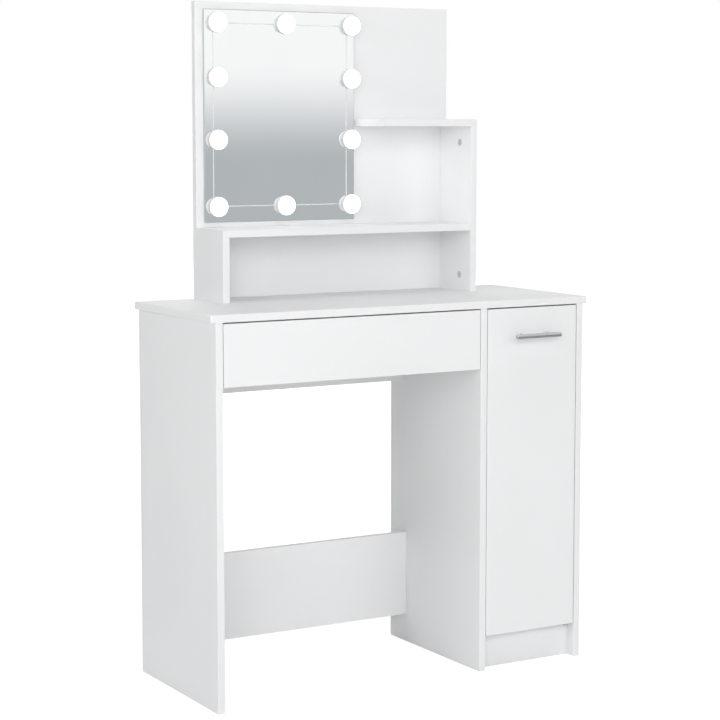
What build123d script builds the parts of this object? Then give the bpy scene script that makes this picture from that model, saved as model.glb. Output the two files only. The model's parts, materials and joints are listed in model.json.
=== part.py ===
from build123d import *
import math
import os

# Vanity table with a lit mirror, in millimetres: +X to the right, +Y to the back, +Z up.
# The origin is on the floor, under the middle of the whole object with its door handle.

# Table
table_width = 865
table_depth = 350
table_height = 760
board = 15  # laminated board of the carcass, the upper unit and the drawer
top_overhang = 10  # table top beyond each side panel
top_corner = 4  # rounding of the table top's upright corners
edge_round = 1  # banded front edges of the boards

# Back rails of the knee space
rail_setback = 50  # back face of the rails to the back edge of the panels
upper_rail_height = 175
lower_rail_height = 180
lower_rail_level = 60

# Cabinet
cabinet_width = 222.5  # clear width between the centre and the right side panel
plinth_height = 70.5
plinth_setback = 25
bottom_setback = 3  # cabinet bottom behind the front of the plinth, clear of the door's hinge edge
cabinet_back_board = 3
cabinet_back_setback = 8
back_groove = 6
shelf_level = 400  # underside of the loose shelf
shelf_side_play = 1
shelf_front_setback = 30
shelf_pin_radius = 2.5
shelf_pin_length = 16
shelf_pin_hold = 8  # part of a shelf pin inside the panel
shelf_pin_inset = 40  # shelf pins from the front and back edges of the shelf
shelf_pin_play = 0.05  # under the shelf

# Drawer
drawer_gap = 2.5  # above the drawer front
drawer_side_gap = 1.5
drawer_front_height = 120
drawer_lip = 14  # finger lip of the front, below the drawer box
drawer_side_height = 85
drawer_length = 250  # drawer box behind its front
drawer_bottom_board = 3
drawer_bottom_inset = 8  # groove of the bottom, above the lower edge of the sides
drawer_groove = 5
drawer_screw_spread = 22  # screws of the drawer back, above and below its middle

# Roller runners
runner_space = 12.5  # between a panel and the drawer side
runner_length = 245
runner_front_gap = 3  # behind the drawer front
runner_steel = 1.2
track_width = 10.5
track_lip = 2.5
cabinet_flange = 5  # upper flange of the cabinet rail, over the outer part of a roller
flange_lift = 17  # under that flange, above the track
flange_play = 0.8  # between the two upper flanges, side by side
drawer_rail_drop = 4  # lower edge of the drawer side, below the track
support_flange = 13  # flange of the drawer rail under the drawer side
roller_radius = 8
roller_near = 3.2  # faces of a roller, from the panel
roller_far = 9
roller_rim = 0.6
roller_end = 11  # axle to the end of its rail
roller_notch = 26  # cabinet flange cut away over the front roller
front_roller_lift = 1.2  # front roller above the track
rear_roller_lift = 0.05
roller_play = 0.1  # under the drawer rail's flange
axle_radius = 2.5
axle_collar = 4
axle_play = 0.06  # radial, in the roller
axle_side_play = 0.2
axle_head = 1
axle_cap = 0.7  # thin head of the rear axle, beside the screw heads
runner_screw_places = (45, 130, 210)  # from the front end of the rail
support_screw_places = (60, 190)

# Door
door_gap = 1.5  # at the free edge
hinge_gap = 2
door_top_gap = 2.5
pivot_inset = 16  # pivot axis from the hinge edge of the door
pin_radius = 2.5
pin_play = 0.08
pin_reach = 13  # pin inside the door
bush_radius = 4.5
bush_length = 14
pivot_steel = 1.5
pivot_width = 11
top_plate_length = 46
top_plate_side_gap = 2
top_plate_screws = (8, 20)  # from the left end of the plate
bottom_plate_tail = 25  # pivot plate behind the plinth
bottom_plate_screws = (6, 18)  # from the back end of the plate
washer_radius = 5
washer_thickness = 1.5
catch_size = (12, 14, 34)
catch_drop = 60  # middle of the catch below the top of the door
catch_play = 0.3
catch_screw_spread = 11
strike_size = (14, 1, 54)
strike_inset = 1  # from the free edge of the door
strike_corner = 3
strike_screw_spread = 22

# Handle
bar_radius = 5
bar_length = 108
bar_end = 1
bar_standoff = 23  # axis of the bar from the door's front
handle_drop = 56  # axis of the bar below the top of the door
post_spacing = 64
post_radius = 4
post_foot_radius = 5.5
post_foot = 1.5

# Upper unit
unit_width = 600
unit_depth = 135  # tall back panel and sides together
unit_height = 600
low_side_height = 130
high_side_height = 350
high_shelf_width = 230
unit_cam_setback = 43  # cam locks from the front edge of the unit's sides
shelf_screw_inset = 110  # screws of the low shelf from the ends of the unit
high_screw_inset = 45  # screws of the high shelf from its ends

# Mirror and its lamps
mirror_width = 350
mirror_height = 430
mirror_glass = 4
glass_edge = 1.2  # polished chamfer round the front of the glass
mirror_left_margin = 17
mirror_top_margin = 15
lamp_inset = 20  # lamp columns from the upright edges of the glass
lamp_rows = (32.5, 167.5, 293, 402.5)  # lamp heights above the lower edge of the glass
lamp_base_radius = 17
lamp_base_height = 8
lamp_base_edge = 1.5
lamp_dome_radius = 20.5
lamp_dome_centre = 20  # above the glass
wire_radius = 1
wire_lift = 0.05  # above the glass
wire_entry = 5  # wire inside a lamp base

# Fittings
fit = 0.1  # play round bolts, dowels, cams and screws
cam_radius = 7.5
cam_depth = 12
cam_setback = 34
cam_slot = (9, 1.6, 1.5)
cam_grip = 4  # bolt passage beyond the middle of the cam
bolt_radius = 2.5
bolt_thread = 11  # part of a bolt that is screwed into the other board
bolt_head_radius = 3.5
bolt_head = 3
bolt_passage_radius = 4
dowel_radius = 4
dowel_length = 30
dowel_hold = 10  # part of a dowel inside a board's face
panel_joint_inset = 60  # cam locks from the front and back edges of the panels
rail_dowel_drop = 50  # dowel below the cam lock in the end of a rail
side_dowel_offset = 45  # dowel behind the cam lock of the unit's sides

# Screws: head radius, head height, shank radius, shank length
panel_screw = (5, 3, 2.5, 40)
runner_screw = (3.5, 0.8, 1.75, 12)
support_screw = (3.5, 1.5, 1.75, 14)
pivot_screw = (3, 1.2, 1.5, 11)
catch_screw = (3, 1.5, 1.5, 20)
handle_screw = (4, 2.2, 2, 24)

LEFT, RIGHT = Vector(-1, 0, 0), Vector(1, 0, 0)
FRONT, BACK = Vector(0, -1, 0), Vector(0, 1, 0)
DOWN, UP = Vector(0, 0, -1), Vector(0, 0, 1)
ON_BASE = (Align.CENTER, Align.CENTER, Align.MIN)

# Places worked out from the sizes
handle_reach = bar_standoff + bar_radius
front_y = handle_reach - (table_depth + handle_reach) / 2
back_y = front_y + table_depth
top_z = table_height - board
left_x = top_overhang - table_width / 2
right_x = -left_x
knee_left = left_x + board
cabinet_right = right_x - board
cabinet_left = cabinet_right - cabinet_width
knee_right = cabinet_left - board
inset_y = front_y + board  # back face of the inset drawer front and door
rail_back_y = back_y - rail_setback
rail_front_y = rail_back_y - board
plinth_y = front_y + plinth_setback
cabinet_back_y = back_y - cabinet_back_setback
cabinet_end_y = cabinet_back_y - cabinet_back_board
unit_panel_y = back_y - board
unit_front_y = back_y - unit_depth
unit_top_z = table_height + unit_height
glass_y = unit_panel_y - mirror_glass
drawer_front_z = top_z - drawer_gap - drawer_front_height
drawer_box_z = drawer_front_z + drawer_lip
track_z = drawer_box_z + drawer_rail_drop
door_left = cabinet_left + door_gap
door_right = cabinet_right - hinge_gap
door_top = top_z - door_top_gap
door_bottom = plinth_height + washer_thickness
pivot_x = door_right - pivot_inset
pivot_y = front_y + board / 2
catch_z = door_top - catch_drop

pieces = {}
bores = {}


def block(x0, x1, y0, y1, z0, z1):
    """Box between two opposite corners."""
    middle = Pos((x0 + x1) / 2, (y0 + y1) / 2, (z0 + z1) / 2)
    return middle * Box(x1 - x0, y1 - y0, z1 - z0)


def fronted(*corners):
    """Board between two opposite corners, with the edges round its front rounded by the edge band."""
    solid = block(*corners)
    return fillet(solid.faces().sort_by(Axis.Y)[0].edges(), edge_round)


def rod(start, along, radius, length):
    """Round bar from a point, along a direction."""
    return Plane(start, z_dir=along) * Cylinder(radius, length, align=ON_BASE)


def turned(outline, start, along):
    """Solid of revolution: (radius, height) points, round an axis from a point along a direction."""
    profile = Plane.XZ * make_face(Polyline(*outline, close=True))
    return Plane(start, z_dir=along) * revolve(profile, Axis.Z)


def folded(path, steel, side, y0, y1):
    """Folded steel strip along Y: a path of (x, z) points, thickened to one side."""
    strip = make_face(offset(Polyline(*path), steel, side=side))
    return extrude(Plane.XZ.offset(-y0) * strip, y0 - y1)


def drill(name, tool):
    """Notes a hole to be cut in a piece."""
    bores.setdefault(name, []).append(tool)


def add(name, *solids):
    """Adds solids to a node."""
    pieces.setdefault(name, []).extend(solids)


def cam_joint(cam_board, bolt_board, seat, inward, face, owner=""):
    """Cam lock in a board's face, whose bolt stands in the other board and enters the first one's edge."""
    centre = seat + inward * cam_setback + face * (board / 2)
    passage = rod(seat, inward, bolt_passage_radius, cam_setback + cam_grip)
    slots = [Box(*cam_slot), Rot(0, 0, 90) * Box(*cam_slot)]
    cam = rod(centre, -face, cam_radius, cam_depth) - passage
    add(owner + "cam_locks", cam - [Plane(centre, z_dir=face) * slot for slot in slots])
    head_start = cam_setback - bolt_head / 2
    outline = [
        (0, -bolt_thread),
        (bolt_radius, -bolt_thread),
        (bolt_radius, head_start),
        (bolt_head_radius, head_start),
        (bolt_head_radius, head_start + bolt_head),
        (0, head_start + bolt_head),
    ]
    add(owner + "cam_bolts", turned(outline, seat, inward))
    drill(cam_board, passage)
    drill(cam_board, rod(centre, -face, cam_radius + fit, cam_depth + fit))
    drill(bolt_board, rod(seat, -inward, bolt_radius + fit, bolt_thread + fit))


def dowel_joint(edge_board, face_board, seat, inward):
    """Wooden dowel across a joint, short in the one board's face and long in the other one's edge."""
    add("dowels", rod(seat - inward * dowel_hold, inward, dowel_radius, dowel_length))
    deep = dowel_length - dowel_hold + fit
    drill(edge_board, rod(seat, inward, dowel_radius + fit, deep))
    drill(face_board, rod(seat, -inward, dowel_radius + fit, dowel_hold + fit))


def screw(node, head_at, along, size, *drilled):
    """Screw whose head's underside is at a point, with a hole in each piece that its shank passes."""
    head_radius, head_height, radius, length = size
    head = rod(head_at, -along, head_radius, head_height)
    add(node, head + rod(head_at, along, radius, length))
    for name in drilled:
        drill(name, rod(head_at, along, radius + fit, length + fit))


def sunk_screw(node, face_at, along, size, first, *others):
    """Screw whose head is let into the face of the first piece that it passes."""
    head_radius, head_height = size[:2]
    drill(first, rod(face_at, along, head_radius + fit, head_height))
    screw(node, face_at + along * head_height, along, size, first, *others)


def carcass():
    """Table top, panels, rails and cabinet boards."""
    top = block(-table_width / 2, table_width / 2, front_y, back_y, top_z, table_height)
    top = fillet(top.edges().filter_by(Axis.Z), top_corner)
    rims = top.faces().sort_by(Axis.Z)[0].edges() + top.faces().sort_by(Axis.Z)[-1].edges()
    add("table_top", fillet(rims, edge_round))
    add("left_side_panel", fronted(left_x, knee_left, front_y, back_y, 0, top_z))
    add("centre_panel", fronted(knee_right, cabinet_left, front_y, back_y, 0, top_z))
    add("right_side_panel", fronted(cabinet_right, right_x, front_y, back_y, 0, top_z))
    upper_rail_z = top_z - upper_rail_height
    add("upper_back_rail", block(knee_left, knee_right, rail_front_y, rail_back_y, upper_rail_z, top_z))
    lower_rail_z = lower_rail_level + lower_rail_height
    add(
        "lower_back_rail",
        fronted(knee_left, knee_right, rail_front_y, rail_back_y, lower_rail_level, lower_rail_z),
    )
    bottom_z = plinth_height + board
    add(
        "cabinet_bottom",
        block(cabinet_left, cabinet_right, plinth_y + bottom_setback, cabinet_end_y, plinth_height, bottom_z),
    )
    add("plinth", block(cabinet_left, cabinet_right, plinth_y, plinth_y + board, 0, plinth_height))
    groove = [cabinet_left - back_groove, cabinet_right + back_groove]
    add(
        "cabinet_back",
        block(groove[0] + fit, groove[1] - fit, cabinet_end_y, cabinet_back_y, plinth_height, top_z),
    )
    cut = block(*groove, cabinet_end_y - fit, cabinet_back_y + fit, 0, top_z)
    drill("centre_panel", cut)
    drill("right_side_panel", cut)


def carcass_joints():
    """Cam locks and dowels between the boards of the table."""
    middle_y = (front_y + back_y) / 2
    ends = (front_y + panel_joint_inset, back_y - panel_joint_inset)
    for name, x, face in (
        ("left_side_panel", left_x + board / 2, RIGHT),
        ("centre_panel", knee_right + board / 2, RIGHT),
        ("right_side_panel", right_x - board / 2, LEFT),
    ):
        for y in ends:
            cam_joint(name, "table_top", Vector(x, y, top_z), DOWN, face)
        dowel_joint(name, "table_top", Vector(x, middle_y, top_z), DOWN)
    rail_y = rail_front_y + board / 2
    for name, z in (
        ("upper_back_rail", top_z - upper_rail_height / 2),
        ("lower_back_rail", lower_rail_level + lower_rail_height / 2),
    ):
        for panel, x, inward in (
            ("left_side_panel", knee_left, RIGHT),
            ("centre_panel", knee_right, LEFT),
        ):
            cam_joint(name, panel, Vector(x, rail_y, z), inward, BACK)
            dowel_joint(name, panel, Vector(x, rail_y, z - rail_dowel_drop), inward)
    for panel, x, inward in (
        ("centre_panel", cabinet_left, RIGHT),
        ("right_side_panel", cabinet_right, LEFT),
    ):
        for y in (plinth_y + panel_joint_inset, cabinet_end_y - panel_joint_inset):
            cam_joint("cabinet_bottom", panel, Vector(x, y, plinth_height + board / 2), inward, DOWN)
        plinth_seat = Vector(x, plinth_y + board / 2, plinth_height / 2)
        cam_joint("plinth", panel, plinth_seat, inward, BACK)


def cabinet_shelf():
    """Loose shelf in the cabinet, on four pins."""
    y0 = plinth_y + shelf_front_setback
    y1 = cabinet_end_y - shelf_side_play
    add(
        "cabinet_shelf",
        fronted(
            cabinet_left + shelf_side_play,
            cabinet_right - shelf_side_play,
            y0,
            y1,
            shelf_level,
            shelf_level + board,
        ),
    )
    pin_z = shelf_level - shelf_pin_radius - shelf_pin_play
    for y in (y0 + shelf_pin_inset, y1 - shelf_pin_inset):
        for panel, x, inward in (
            ("centre_panel", cabinet_left, RIGHT),
            ("right_side_panel", cabinet_right, LEFT),
        ):
            start = Vector(x, y, pin_z) - inward * shelf_pin_hold
            add("shelf_pins", rod(start, inward, shelf_pin_radius, shelf_pin_length))
            drill(panel, rod(start - inward * fit, inward, shelf_pin_radius + fit, shelf_pin_hold + fit))


def upper_unit():
    """Tall back panel on the table top, with two sides and two shelves in front of it."""
    left, right = -unit_width / 2, unit_width / 2
    low_z = table_height + low_side_height
    high_z = table_height + high_side_height
    depth = (unit_front_y, unit_panel_y)
    add("tall_back_panel", fronted(left, right, unit_panel_y, back_y, table_height, unit_top_z))
    add("unit_left_side", fronted(left, left + board, *depth, table_height, low_z))
    add("unit_right_side", fronted(right - board, right, *depth, table_height, high_z))
    add("low_shelf", fronted(left, right - board, *depth, low_z, low_z + board))
    add("high_shelf", fronted(right - high_shelf_width, right, *depth, high_z, high_z + board))

    cam_y = unit_front_y + unit_cam_setback
    for side, x, face, shelf, top in (
        ("unit_left_side", left + board / 2, RIGHT, "low_shelf", low_z),
        ("unit_right_side", right - board / 2, LEFT, "high_shelf", high_z),
    ):
        for other, z, inward in (("table_top", table_height, UP), (shelf, top, DOWN)):
            cam_joint(side, other, Vector(x, cam_y, z), inward, face)
            dowel_joint(side, other, Vector(x, cam_y + side_dowel_offset, z), inward)
    shelf_end = Vector(right - board, cam_y, low_z + board / 2)
    cam_joint("low_shelf", "unit_right_side", shelf_end, LEFT, DOWN)

    middle_z = (low_z + high_z) / 2
    for name, x, z in (
        ("unit_left_side", left + board / 2, (table_height + low_z) / 2),
        ("unit_right_side", right - board / 2, middle_z),
        ("low_shelf", left + shelf_screw_inset, low_z + board / 2),
        ("low_shelf", 0, low_z + board / 2),
        ("low_shelf", right - shelf_screw_inset, low_z + board / 2),
        ("high_shelf", right - high_shelf_width + high_screw_inset, high_z + board / 2),
        ("high_shelf", right - high_screw_inset, high_z + board / 2),
    ):
        head = Vector(x, back_y, z)
        sunk_screw("panel_screws", head, FRONT, panel_screw, "tall_back_panel", name)


def lamp(number, x, z, neighbours):
    """Round lamp on the glass: a base with a wire passage towards each neighbour, and an opal dome."""
    seat = Vector(x, glass_y, z)
    edge = lamp_base_radius - lamp_base_edge
    outline = [
        (0, 0),
        (lamp_base_radius, 0),
        (lamp_base_radius, lamp_base_height - lamp_base_edge),
        (edge, lamp_base_height),
        (0, lamp_base_height),
    ]
    base = turned(outline, seat, FRONT)
    wire_seat = seat + FRONT * (wire_radius + wire_lift)
    for place in neighbours:
        towards = (Vector(place[0], glass_y, place[1]) - seat).normalized()
        inner = wire_seat + towards * (lamp_base_radius - wire_entry)
        base -= rod(inner, towards, wire_radius + fit, lamp_base_radius)
    add("lamp_bases", base)
    dip = math.degrees(math.asin((lamp_base_height - lamp_dome_centre) / lamp_dome_radius))
    arc = CenterArc((0, lamp_dome_centre), lamp_dome_radius, dip, 90 - dip)
    foot = (0, lamp_base_height)
    outline = make_face([arc, Line(arc @ 1, foot), Line(foot, arc @ 0)])
    dome = revolve(Plane.XZ * outline, Axis.Z)
    add(f"lamp_dome_{number}", Plane(seat, z_dir=FRONT) * dome)


def lit_mirror():
    """Mirror glass with its ring of lamps and the wires that run from lamp to lamp on the glass."""
    x0 = mirror_left_margin - unit_width / 2
    x1 = x0 + mirror_width
    z0 = unit_top_z - mirror_top_margin - mirror_height
    glass = block(x0, x1, glass_y, unit_panel_y, z0, z0 + mirror_height)
    add("mirror_glass", chamfer(glass.faces().sort_by(Axis.Y)[0].edges(), glass_edge))
    rows = [z0 + row for row in lamp_rows]
    left, right = x0 + lamp_inset, x1 - lamp_inset
    middle = (left + right) / 2
    ring = [(left, z) for z in reversed(rows)] + [(middle, rows[0])]
    ring += [(right, z) for z in rows] + [(middle, rows[-1])]
    wire_y = glass_y - wire_radius - wire_lift
    for number, place in enumerate(ring):
        following = ring[(number + 1) % len(ring)]
        lamp(number + 1, *place, (ring[number - 1], following))
        a, b = (Vector(x, wire_y, z) for x, z in (place, following))
        along = (b - a).normalized()
        inner = lamp_base_radius - wire_entry + fit
        add("lamp_wires", rod(a + along * inner, along, wire_radius, (b - a).length - 2 * inner))


def drawer():
    """Drawer box with its inset front."""
    x0, x1 = knee_left + runner_space, knee_right - runner_space
    end_y = inset_y + drawer_length
    top = drawer_box_z + drawer_side_height
    bottom_z = drawer_box_z + drawer_bottom_inset
    floor_z = bottom_z + drawer_bottom_board
    add(
        "drawer_front",
        fronted(
            knee_left + drawer_side_gap,
            knee_right - drawer_side_gap,
            front_y,
            inset_y,
            drawer_front_z,
            drawer_front_z + drawer_front_height,
        ),
    )
    add("drawer_left_side", block(x0, x0 + board, inset_y, end_y, drawer_box_z, top))
    add("drawer_right_side", block(x1 - board, x1, inset_y, end_y, drawer_box_z, top))
    add("drawer_back", block(x0 + board, x1 - board, end_y - board, end_y, floor_z + fit, top))
    groove_x = (x0 + board - drawer_groove, x1 - board + drawer_groove)
    groove_y = inset_y - drawer_groove
    add(
        "drawer_bottom",
        block(groove_x[0] + fit, groove_x[1] - fit, groove_y + fit, end_y, bottom_z, floor_z),
    )
    groove = block(*groove_x, groove_y, end_y, bottom_z - fit, floor_z + fit)
    for name in ("drawer_front", "drawer_left_side", "drawer_right_side"):
        drill(name, groove)
    middle_z = (floor_z + top) / 2
    for name, x, inward in (
        ("drawer_left_side", x0 + board / 2, RIGHT),
        ("drawer_right_side", x1 - board / 2, LEFT),
    ):
        seat = Vector(x, inset_y, middle_z)
        cam_joint(name, "drawer_front", seat, BACK, inward, "drawer_")
        outer = Vector(x, end_y - board / 2, middle_z) - inward * (board / 2)
        for z in (-drawer_screw_spread, drawer_screw_spread):
            sunk_screw("drawer_screws", outer + UP * z, inward, panel_screw, name, "drawer_back")


def runner(hand, panel, face_x, out):
    """Roller runner: channel and front roller on the panel, flanged rail and rear roller on the drawer."""
    near = Side.RIGHT if out.X > 0 else Side.LEFT
    far = Side.LEFT if out.X > 0 else Side.RIGHT
    y0 = inset_y + runner_front_gap
    y1 = y0 + runner_length

    def at(across, y, height):
        return Vector(face_x + out.X * across, y, track_z + height)

    def section(*points):
        return [(face_x + out.X * across, track_z + height) for across, height in points]

    flange_top = flange_lift + runner_steel
    channel = section(
        (track_width, track_lip),
        (track_width, -runner_steel),
        (0, -runner_steel),
        (0, flange_top),
        (cabinet_flange, flange_top),
    )
    front_centre = front_roller_lift + roller_radius
    lowest = at(runner_steel, y0, front_centre)
    highest = at(runner_space, y0 + roller_notch, flange_top)
    notch_x = sorted((lowest.X, highest.X))
    rail = folded(channel, runner_steel, near, y0, y1)
    rail -= block(*notch_x, y0, y0 + roller_notch, lowest.Z, highest.Z)
    front_axle = axle_outline(roller_near, roller_far, axle_head)
    rail += turned(front_axle, at(0, y0 + roller_end, front_centre), out)
    add(f"cabinet_rail_{hand}", rail)
    add(f"front_roller_{hand}", roller(at(0, y0 + roller_end, front_centre), out))

    drawer_flange = front_centre + roller_radius + roller_play + runner_steel
    angle = section(
        (runner_space + support_flange, -drawer_rail_drop),
        (runner_space, -drawer_rail_drop),
        (runner_space, drawer_flange),
        (cabinet_flange + flange_play, drawer_flange),
    )
    rear_seat = at(0, y1 - roller_end, rear_roller_lift + roller_radius)
    rear_axle = axle_outline(runner_space - roller_far, runner_space - roller_near, axle_cap)
    drawer_rail = folded(angle, runner_steel, far, y0, y1)
    drawer_rail += turned(rear_axle, rear_seat + out * runner_space, -out)
    add(f"drawer_rail_{hand}", drawer_rail)
    add(f"rear_roller_{hand}", roller(rear_seat, out))

    for place in runner_screw_places:
        head = at(runner_steel, y0 + place, roller_radius)
        screw("hardware_screws", head, -out, runner_screw, f"cabinet_rail_{hand}", panel)
    for place in support_screw_places:
        head = at(runner_space + board / 2, y0 + place, -drawer_rail_drop - runner_steel)
        screw("drawer_screws", head, UP, support_screw, f"drawer_rail_{hand}", f"drawer_{hand}_side")


def axle_outline(first, last, head):
    """Outline of a riveted axle that carries a roller between two distances from its root."""
    return [
        (0, runner_steel),
        (axle_collar, runner_steel),
        (axle_collar, first - axle_side_play),
        (axle_radius, first - axle_side_play),
        (axle_radius, last + axle_side_play),
        (axle_collar, last + axle_side_play),
        (axle_collar, last + axle_side_play + head),
        (0, last + axle_side_play + head),
    ]


def roller(centre, out):
    """Nylon roller with a bored hub and eased rims."""
    hub = axle_radius + axle_play
    rim = roller_radius - roller_rim
    outline = [
        (hub, roller_near),
        (rim, roller_near),
        (roller_radius, roller_near + roller_rim),
        (roller_radius, roller_far - roller_rim),
        (rim, roller_far),
        (hub, roller_far),
    ]
    return turned(outline, centre, out)


def door():
    """Inset door on two pivots, with its bushes and the strike of the catch."""
    add("door", fronted(door_left, door_right, front_y, inset_y, door_bottom, door_top))
    for z, inward in ((door_top, DOWN), (door_bottom, UP)):
        mouth = Vector(pivot_x, pivot_y, z)
        drill("door", rod(mouth, inward, bush_radius + fit, bush_length + fit))
        bush = rod(mouth, inward, bush_radius, bush_length)
        add("pivot_bushes", bush - rod(mouth, inward, pin_radius + pin_play, bush_length))
    width, thickness, height = strike_size
    x = door_left + strike_inset + width / 2
    plate = Pos(x, inset_y + thickness / 2, catch_z) * Box(width, thickness, height)
    add("catch_strike", fillet(plate.edges().filter_by(Axis.Y), strike_corner))
    for z in (-strike_screw_spread, strike_screw_spread):
        head = Vector(x, inset_y + thickness, catch_z + z)
        screw("door_screws", head, FRONT, pivot_screw, "catch_strike", "door")


def pivots():
    """Pivot plates let into the table top and the plinth, and the magnet catch."""
    half = pivot_width / 2
    plate_right = cabinet_right - top_plate_side_gap
    plate_left = plate_right - top_plate_length
    seat_z = top_z + pivot_steel
    plate = block(plate_left, plate_right, pivot_y - half, pivot_y + half, top_z, seat_z)
    pin_root = Vector(pivot_x, pivot_y, top_z)
    add("top_pivot_plate", plate + rod(pin_root, DOWN, pin_radius, door_top_gap + pin_reach))
    mortise_y = (pivot_y - half - fit, pivot_y + half + fit)
    drill("table_top", block(plate_left - fit, plate_right + fit, *mortise_y, top_z, seat_z))
    for place in top_plate_screws:
        head = Vector(plate_left + place, pivot_y, top_z)
        sunk_screw("hardware_screws", head, UP, pivot_screw, "top_pivot_plate", "table_top")

    plate_z = plinth_height - pivot_steel
    end_y = plinth_y + board + bottom_plate_tail
    plate = block(pivot_x - half, pivot_x + half, pivot_y - half, end_y, plate_z, plinth_height)
    foot = Vector(pivot_x, pivot_y, plinth_height)
    add("bottom_pivot_plate", plate + rod(foot, UP, pin_radius, washer_thickness + pin_reach))
    notch_x = (pivot_x - half - fit, pivot_x + half + fit)
    drill("plinth", block(*notch_x, plinth_y, plinth_y + board, plate_z - fit, plinth_height))
    washer = rod(foot, UP, washer_radius, washer_thickness)
    add("pivot_washer", washer - rod(foot, UP, pin_radius + pin_play, washer_thickness))
    for place in bottom_plate_screws:
        head = Vector(pivot_x, end_y - place, plate_z)
        sunk_screw("hardware_screws", head, UP, pivot_screw, "bottom_pivot_plate", "cabinet_bottom")

    width, depth = catch_size[:2]
    y = inset_y + strike_size[1] + catch_play + depth / 2
    body = Pos(cabinet_left + width / 2, y, catch_z) * Box(*catch_size)
    add("magnet_catch", fillet(body.edges().filter_by(Axis.X), strike_corner))
    for z in (-catch_screw_spread, catch_screw_spread):
        head = Vector(cabinet_left + width, y, catch_z + z)
        sunk_screw("hardware_screws", head, LEFT, catch_screw, "magnet_catch", "centre_panel")


def handle():
    """Round bar on two posts, screwed through the door."""
    x = (door_left + door_right) / 2
    z = door_top - handle_drop
    axis_y = front_y - bar_standoff
    start = Vector(x - bar_length / 2, axis_y, z)
    bar = rod(start, RIGHT, bar_radius, bar_length)
    ends = bar.edges().filter_by(GeomType.CIRCLE)
    add("handle_bar", fillet(ends, bar_end))
    for offset_x in (-post_spacing / 2, post_spacing / 2):
        foot = Vector(x + offset_x, front_y, z)
        outline = [
            (0, 0),
            (post_foot_radius, 0),
            (post_foot_radius, post_foot),
            (post_radius, 2 * post_foot),
            (post_radius, bar_standoff),
            (0, bar_standoff),
        ]
        add("handle_posts", turned(outline, foot, FRONT) - bar)
        head = Vector(x + offset_x, inset_y, z)
        screw("door_screws", head, FRONT, handle_screw, "door", "handle_posts")


carcass()
carcass_joints()
cabinet_shelf()
upper_unit()
lit_mirror()
drawer()
runner("left", "left_side_panel", knee_left, RIGHT)
runner("right", "centre_panel", knee_right, LEFT)
door()
pivots()
handle()

os.makedirs("parts", exist_ok=True)
for name, solids in pieces.items():
    drilled = [solid - bores[name] if name in bores else solid for solid in solids]
    export_step(Compound(drilled) if len(drilled) > 1 else drilled[0], f"parts/{name}.step")
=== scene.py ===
"""Vanity table with a lit mirror: finishes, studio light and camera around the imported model.

Metres throughout, in the model's own frame: +X to the right, +Y to the back, +Z up, floor at 0.
Colours are red, green and blue.
"""

import json
import math

import bpy
import numpy as np
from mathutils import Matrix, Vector


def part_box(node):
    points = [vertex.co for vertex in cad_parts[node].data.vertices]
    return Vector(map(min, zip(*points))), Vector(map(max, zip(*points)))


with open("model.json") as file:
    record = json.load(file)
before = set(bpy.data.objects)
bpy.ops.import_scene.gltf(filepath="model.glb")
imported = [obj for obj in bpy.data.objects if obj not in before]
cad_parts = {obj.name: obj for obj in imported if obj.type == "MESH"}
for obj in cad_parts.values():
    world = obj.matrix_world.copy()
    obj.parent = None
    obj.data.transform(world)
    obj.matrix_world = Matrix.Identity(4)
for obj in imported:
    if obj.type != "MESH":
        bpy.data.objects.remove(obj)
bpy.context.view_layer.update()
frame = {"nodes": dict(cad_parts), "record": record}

UNIT = (0.0, 1.0)  # range of a mask

# Camera, as measured from the perspective of the boards
IMAGE_SIDE = 720
FOCAL_PIXELS = 1983.0
SENSOR = 36.0  # millimetres
CAMERA_PLACE = (-2.0385, -3.462, 1.1049)
CAMERA_YAW = 0.5283  # radians to the right
CAMERA_PITCH = 0.098  # radians down
CAMERA_SHIFT = -0.0505  # in widths of the image

# Surroundings
AMBIENT = 0.17
SEEN_WHITE = (1.0, 1.0, 1.0)
SEEN_GREY = (0.475, 0.495, 0.515)  # the floor and what lies below the horizon, as gloss shows them
HORIZON = (-0.018, 0.034)  # heights of a ray's direction at which gloss shows full grey and full white

# Soft boxes: degrees from the front to the right, degrees up, watts, and whether gloss shows the box
BOX_SIZE = 2.6
BOX_REACH = 4.6
BOX_AIM = Vector((0.0, 0.0, 0.7))
SOFT_BOXES = {
    "key_light": (-29, 15, 79, False),
    "left_light": (-80, 14, 55, True),
    "fill_light": (15, 15, 44, False),
    "top_light": (-20, 78, 52, True),
    "right_light": (100, 14, 54, False),
    "back_light": (170, 22, 62, False),
}

# Floor
FLOOR_RADIUS = 12.0
FLOOR_RINGS = 6
FLOOR_SPOKES = 96
FLOOR_DROP = 0.0002  # below the feet
FLOOR_COLOR = (0.93, 0.93, 0.93)
GLOW_RANGE = (0.6, 2.4)  # distances from the middle between which the added white grows
GLOW_STRENGTH = (0.5, 1.0)  # white added to the floor that is seen, at those two distances

# Noise of the finishes
NOISE_DETAIL = {"Cloud": 3.0, "Grain": 2.0}
NOISE_SPREAD = (0.3, 0.7)  # part of the noise that is spread over 0 to 1

# Mirror
GLASS_FACING = -0.9  # Y of the surface's normal below which the glass faces the front
GROUND_EDGE = (0.42, 0.46, 0.45)
GROUND_ROUGH = 0.35

# Lamps
LAMP_STRENGTH = 2.8
LAMP_LIGHT = (1.0, 0.995, 0.98)
# The next two colours paint shade on a globe's collar next to its base: no glow there, and grey in place
# of white.
LAMP_DARK = (0.0, 0.0, 0.0)
LAMP_PAINTED_SHADE = (0.7, 0.7, 0.71)
LAMP_FADE = (0.46, 0.74)  # from base to front of a globe: where the painted shade gives way to glow, and where it glows fully


def opaque(color):
    """Colour with full alpha, as a socket takes it."""
    return (*color, 1.0)


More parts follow.
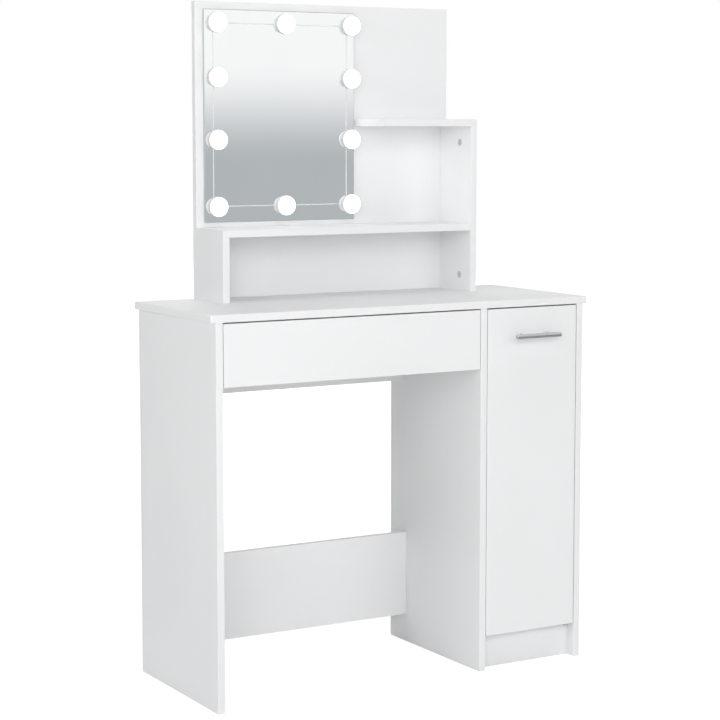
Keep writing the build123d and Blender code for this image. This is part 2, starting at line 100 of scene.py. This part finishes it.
def math_node(tree, operation, first, second):
    """Result of one arithmetic step; each side is a socket or a number."""
    node = tree.nodes.new("ShaderNodeMath")
    node.operation = operation
    for socket, value in zip(node.inputs, (first, second)):
        if isinstance(value, (int, float)):
            socket.default_value = value
        else:
            tree.links.new(value, socket)
    return node.outputs[0]


def ranged(tree, value, source, target, smooth=False):
    """Value carried from one range to another, held at the ends."""
    node = tree.nodes.new("ShaderNodeMapRange")
    node.interpolation_type = "SMOOTHSTEP" if smooth else "LINEAR"
    for name, number in zip(("From Min", "From Max", "To Min", "To Max"), (*source, *target)):
        node.inputs[name].default_value = number
    tree.links.new(value, node.inputs["Value"])
    return node.outputs["Result"]


def along(tree, vector, axis):
    """One axis of a vector: X, Y or Z."""
    node = tree.nodes.new("ShaderNodeSeparateXYZ")
    tree.links.new(vector, node.inputs["Vector"])
    return node.outputs[axis]


def blended(tree, mask, first, second):
    """Colour between two colours, by a mask; each is a socket or a written colour."""
    node = tree.nodes.new("ShaderNodeMix")
    node.data_type = "RGBA"
    tree.links.new(mask, node.inputs["Factor"])
    for name, value in (("A", first), ("B", second)):
        socket = next(s for s in node.inputs if s.name == name and s.type == "RGBA")
        if isinstance(value, tuple):
            socket.default_value = opaque(value)
        else:
            tree.links.new(value, socket)
    return next(s for s in node.outputs if s.type == "RGBA")


def either(tree, mask, first, second):
    """Shader that is the first where the mask is 0, and the second where it is 1."""
    node = tree.nodes.new("ShaderNodeMixShader")
    for socket, value in zip(node.inputs, (mask, first, second)):
        tree.links.new(value, socket)
    return node.outputs[0]


def ray_mask(tree, *kinds):
    """1 for a ray of any of these kinds of Light Path, else 0."""
    path = tree.nodes.new("ShaderNodeLightPath")
    mask = path.outputs[kinds[0]]
    for kind in kinds[1:]:
        mask = math_node(tree, "MAXIMUM", mask, path.outputs[kind])
    return mask


def grain_group():
    """Group with a broad cloud and a fine grain, both 0 to 1, on Object coordinates times Stretch."""
    group = bpy.data.node_groups.new("cloud_and_grain", "ShaderNodeTree")
    sides = group.interface
    sides.new_socket("Stretch", in_out="INPUT", socket_type="NodeSocketVector")
    for name in NOISE_DETAIL:
        sides.new_socket(f"{name} Scale", in_out="INPUT", socket_type="NodeSocketFloat")
        sides.new_socket(name, in_out="OUTPUT", socket_type="NodeSocketFloat")
    start, end = group.nodes.new("NodeGroupInput"), group.nodes.new("NodeGroupOutput")
    place = group.nodes.new("ShaderNodeTexCoord")
    scaled = group.nodes.new("ShaderNodeVectorMath")
    scaled.operation = "MULTIPLY"
    group.links.new(place.outputs["Object"], scaled.inputs[0])
    group.links.new(start.outputs["Stretch"], scaled.inputs[1])
    for name, detail in NOISE_DETAIL.items():
        noise = group.nodes.new("ShaderNodeTexNoise")
        noise.inputs["Detail"].default_value = detail
        group.links.new(scaled.outputs[0], noise.inputs["Vector"])
        group.links.new(start.outputs[f"{name} Scale"], noise.inputs["Scale"])
        group.links.new(ranged(group, noise.outputs["Fac"], NOISE_SPREAD, UNIT), end.inputs[name])
    return group


GRAIN = grain_group()


def finish(name, pale, deep, rough, cloud, grain, bump=0.0, stretch=(1.0, 1.0, 1.0), metal=0.0):
    """Material whose colour drifts between two tones, with grain in its roughness and its surface.

    The roughness is a range, cloud and grain are the scales of the two noises per metre, and the bump is
    the height of the grain in metres.
    """
    material = bpy.data.materials.new(name)
    material.use_nodes = True
    tree = material.node_tree
    shader = tree.nodes["Principled BSDF"]
    shader.inputs["Metallic"].default_value = metal
    texture = tree.nodes.new("ShaderNodeGroup")
    texture.node_tree = GRAIN
    texture.inputs["Stretch"].default_value = stretch
    texture.inputs["Cloud Scale"].default_value = cloud
    texture.inputs["Grain Scale"].default_value = grain
    tree.links.new(blended(tree, texture.outputs["Cloud"], deep, pale), shader.inputs["Base Color"])
    tree.links.new(ranged(tree, texture.outputs["Grain"], UNIT, rough), shader.inputs["Roughness"])
    if bump:
        relief = tree.nodes.new("ShaderNodeBump")
        relief.inputs["Strength"].default_value = 1.0
        relief.inputs["Distance"].default_value = bump
        tree.links.new(texture.outputs["Grain"], relief.inputs["Height"])
        tree.links.new(relief.outputs["Normal"], shader.inputs["Normal"])
    return material


def laminate():
    """White melamine face: a faint pebble under a matt sheen."""
    pale, deep = (0.875, 0.88, 0.885), (0.845, 0.85, 0.855)
    return finish("white_laminate", pale, deep, rough=(0.44, 0.54), cloud=2.5, grain=1500.0, bump=0.000012)


def hardboard():
    """White-faced thin board, flatter and a little greyer than the laminate."""
    pale, deep = (0.84, 0.84, 0.83), (0.78, 0.78, 0.77)
    return finish("white_hardboard", pale, deep, rough=(0.5, 0.62), cloud=6.0, grain=700.0, bump=0.00003)


def brushed_metal():
    """Satin metal brushed along the bar: streaks many times longer than they are wide."""
    pale, deep = (0.64, 0.64, 0.64), (0.47, 0.47, 0.48)
    return finish(
        "brushed_metal", pale, deep, rough=(0.18, 0.32), cloud=160.0, grain=420.0, bump=0.00001,
        stretch=(0.03, 1.0, 1.0), metal=1.0,
    )


def zinc_casting():
    """Dull die-cast zinc of the cam locks."""
    pale, deep = (0.68, 0.68, 0.68), (0.56, 0.56, 0.57)
    return finish(
        "zinc_casting", pale, deep, rough=(0.38, 0.55), cloud=140.0, grain=900.0, bump=0.00003, metal=0.7,
    )


def plated_steel(name, rough):
    """Bright zinc-plated steel."""
    pale, deep = (0.72, 0.72, 0.7), (0.58, 0.59, 0.6)
    return finish(name, pale, deep, rough, cloud=90.0, grain=600.0, bump=0.00001, metal=1.0)


def coated_steel():
    """White powder coat of the runners, with its fine orange peel."""
    pale, deep = (0.86, 0.86, 0.84), (0.81, 0.81, 0.79)
    return finish("coated_steel", pale, deep, rough=(0.34, 0.46), cloud=12.0, grain=1100.0, bump=0.00003)


def moulded(name, pale, deep, rough):
    """Moulded plastic with a faint mould texture."""
    return finish(name, pale, deep, rough, cloud=30.0, grain=1300.0, bump=0.00001)


def beech():
    """Beech of the dowels, in two mottled tones."""
    pale, deep = (0.72, 0.52, 0.33), (0.58, 0.39, 0.22)
    return finish("beech", pale, deep, rough=(0.55, 0.7), cloud=60.0, grain=700.0, bump=0.00004)


def mirror_silver():
    """Silvered glass with faint haze, and a ground edge where the glass does not face the front."""
    pale, deep = (0.93, 0.945, 0.945), (0.9, 0.92, 0.92)
    material = finish("mirror_silver", pale, deep, rough=(0.0, 0.012), cloud=5.0, grain=60.0)
    tree = material.node_tree
    shader = tree.nodes["Principled BSDF"]
    surface = tree.nodes.new("ShaderNodeNewGeometry")
    silver = math_node(tree, "LESS_THAN", along(tree, surface.outputs["True Normal"], "Y"), GLASS_FACING)
    tone = shader.inputs["Base Color"].links[0].from_socket
    haze = shader.inputs["Roughness"].links[0].from_socket
    edge_rough = ranged(tree, silver, UNIT, (GROUND_ROUGH, 0.0))
    tree.links.new(blended(tree, silver, GROUND_EDGE, tone), shader.inputs["Base Color"])
    tree.links.new(silver, shader.inputs["Metallic"])
    tree.links.new(math_node(tree, "MAXIMUM", haze, edge_rough), shader.inputs["Roughness"])
    return material


def opal_glow():
    """Opal globe lit from inside, with painted shade on its collar next to the base: grey there, and no
    glow.
    """
    material = moulded("opal_glow", (0.95, 0.95, 0.94), (0.92, 0.92, 0.91), (0.2, 0.3))
    tree = material.node_tree
    shader = tree.nodes["Principled BSDF"]
    place = tree.nodes.new("ShaderNodeTexCoord")
    front, back = (corner.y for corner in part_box("lamp_dome_1"))
    lit = tuple(back + share * (front - back) for share in LAMP_FADE)
    # Painted shade: the globe is grey and unlit at its base, and turns white and glowing towards its
    # front.
    rise = ranged(tree, along(tree, place.outputs["Object"], "Y"), lit, UNIT, smooth=True)
    tone = shader.inputs["Base Color"].links[0].from_socket
    tree.links.new(blended(tree, rise, LAMP_PAINTED_SHADE, tone), shader.inputs["Base Color"])
    tree.links.new(blended(tree, rise, LAMP_DARK, LAMP_LIGHT), shader.inputs["Emission Color"])
    shader.inputs["Emission Strength"].default_value = LAMP_STRENGTH
    return material


def dress_nodes():
    """Gives every node of the model the finish of its material slot."""
    finishes = {
        "white_board": laminate(),
        "thin_board": hardboard(),
        "mirror": mirror_silver(),
        "opal_lamp": opal_glow(),
        "lamp_base": moulded("lamp_base_plastic", (0.9, 0.9, 0.9), (0.86, 0.86, 0.86), (0.25, 0.35)),
        "lamp_wire": moulded("wire_sleeve", (0.82, 0.82, 0.82), (0.77, 0.77, 0.77), (0.4, 0.5)),
        "runner_steel": coated_steel(),
        "nylon": moulded("nylon", (0.84, 0.83, 0.8), (0.79, 0.78, 0.75), (0.4, 0.5)),
        "catch_plastic": moulded("catch_plastic", (0.88, 0.88, 0.88), (0.83, 0.83, 0.83), (0.35, 0.45)),
        "cam_zinc": zinc_casting(),
        "fastener_steel": plated_steel("fastener_steel", (0.25, 0.4)),
        "pivot_steel": plated_steel("pressed_steel", (0.32, 0.45)),
        "dowel_wood": beech(),
        "handle_metal": brushed_metal(),
    }
    for part in frame["record"]["subparts"]:
        for slot in frame["nodes"][part["node"]].material_slots:
            slot.material = finishes[part["material_slot"]]


def clear_mirror():
    """Keeps the lamps, their wires and the shelf beside the glass out of the mirror image."""
    for name, node in frame["nodes"].items():
        if name.startswith("lamp_") or name == "high_shelf":
            node.visible_glossy = False


def surroundings():
    """World: even light on the object, seen as white, and in gloss as white above a soft grey."""
    world = bpy.data.worlds.new("studio")
    bpy.context.scene.world = world
    world.use_nodes = True
    tree = world.node_tree
    tree.nodes.clear()
    out = tree.nodes.new("ShaderNodeOutputWorld")
    light, shown = (tree.nodes.new("ShaderNodeBackground") for _ in range(2))
    light.inputs["Color"].default_value = opaque(SEEN_WHITE)
    light.inputs["Strength"].default_value = AMBIENT
    ray = tree.nodes.new("ShaderNodeTexCoord")
    height = ranged(tree, along(tree, ray.outputs["Generated"], "Z"), HORIZON, UNIT, smooth=True)
    white = math_node(tree, "MAXIMUM", height, ray_mask(tree, "Is Camera Ray"))
    tree.links.new(blended(tree, white, SEEN_GREY, SEEN_WHITE), shown.inputs["Color"])
    seen = ray_mask(tree, "Is Camera Ray", "Is Glossy Ray", "Is Transmission Ray")
    tree.links.new(either(tree, seen, light.outputs[0], shown.outputs[0]), out.inputs["Surface"])


def floor_material():
    """Pale floor that keeps a soft shadow, with white added for the eye, and plain grey in gloss."""
    material = bpy.data.materials.new("pale_floor")
    material.use_nodes = True
    tree = material.node_tree
    tree.nodes.clear()
    out = tree.nodes.new("ShaderNodeOutputMaterial")
    pale = tree.nodes.new("ShaderNodeBsdfDiffuse")
    pale.inputs["Color"].default_value = opaque(FLOOR_COLOR)
    white, grey = (tree.nodes.new("ShaderNodeEmission") for _ in range(2))
    grey.inputs["Color"].default_value = opaque(SEEN_GREY)
    place = tree.nodes.new("ShaderNodeTexCoord")
    reach = tree.nodes.new("ShaderNodeVectorMath")
    reach.operation = "LENGTH"
    tree.links.new(place.outputs["Object"], reach.inputs[0])
    glow = ranged(tree, reach.outputs["Value"], GLOW_RANGE, GLOW_STRENGTH, smooth=True)
    straight = ray_mask(tree, "Is Camera Ray", "Is Transmission Ray")
    tree.links.new(math_node(tree, "MULTIPLY", glow, straight), white.inputs["Strength"])
    both = tree.nodes.new("ShaderNodeAddShader")
    tree.links.new(pale.outputs[0], both.inputs[0])
    tree.links.new(white.outputs[0], both.inputs[1])
    shiny = ray_mask(tree, "Is Glossy Ray")
    tree.links.new(either(tree, shiny, both.outputs[0], grey.outputs[0]), out.inputs["Surface"])
    return material


def floor():
    """Round floor: points at (r cos t, r sin t), r and t on a grid, joined in rings round the middle."""
    turn = np.linspace(0, 2 * np.pi, FLOOR_SPOKES, endpoint=False)
    reach = FLOOR_RADIUS * np.linspace(0, 1, FLOOR_RINGS + 1)[1:, None] ** 2
    level = np.full((FLOOR_RINGS, FLOOR_SPOKES), -FLOOR_DROP)
    rim = np.stack([reach * np.cos(turn), reach * np.sin(turn), level], -1)
    points = np.vstack([[(0, 0, -FLOOR_DROP)], rim.reshape(-1, 3)])
    here = np.arange(FLOOR_SPOKES)
    following = np.roll(here, -1)
    fan = np.stack([np.zeros(FLOOR_SPOKES, int), 1 + here, 1 + following], -1)
    inner = 1 + FLOOR_SPOKES * np.arange(FLOOR_RINGS - 1)[:, None]
    outer = inner + FLOOR_SPOKES
    quads = np.stack([inner + here, outer + here, outer + following, inner + following], -1)
    mesh = bpy.data.meshes.new("floor")
    mesh.from_pydata(points, [], fan.tolist() + quads.reshape(-1, 4).tolist())
    mesh.materials.append(floor_material())
    disc = bpy.data.objects.new("floor", mesh)
    bpy.context.scene.collection.objects.link(disc)


def soft_box(name, turn, rise, power, in_gloss):
    """Square soft light on a sphere round the object, facing its middle; turn and rise in degrees."""
    lamp = bpy.data.lights.new(name, "AREA")
    lamp.shape, lamp.size, lamp.energy = "SQUARE", BOX_SIZE, power
    around, up = math.radians(turn), math.radians(rise)
    side = math.cos(up)
    away = Vector((side * math.sin(around), -side * math.cos(around), math.sin(up)))
    box = bpy.data.objects.new(name, lamp)
    box.location = BOX_AIM + BOX_REACH * away
    box.rotation_euler = (-away).to_track_quat("-Z", "Y").to_euler()
    box.visible_glossy = in_gloss
    bpy.context.scene.collection.objects.link(box)


def camera():
    """Camera at the measured place, turned right and tilted slightly down."""
    data = bpy.data.cameras.new("camera")
    data.sensor_width = SENSOR
    data.lens = FOCAL_PIXELS / IMAGE_SIDE * SENSOR
    data.shift_y = CAMERA_SHIFT
    eye = bpy.data.objects.new("camera", data)
    eye.location = CAMERA_PLACE
    eye.rotation_euler = (math.pi / 2 - CAMERA_PITCH, 0.0, -CAMERA_YAW)
    bpy.context.scene.collection.objects.link(eye)
    bpy.context.scene.camera = eye


def studio():
    """Surroundings, floor, lights and camera."""
    bpy.context.scene.view_settings.view_transform = "Standard"
    surroundings()
    floor()
    for name, settings in SOFT_BOXES.items():
        soft_box(name, *settings)
    camera()


dress_nodes()
clear_mirror()
studio()
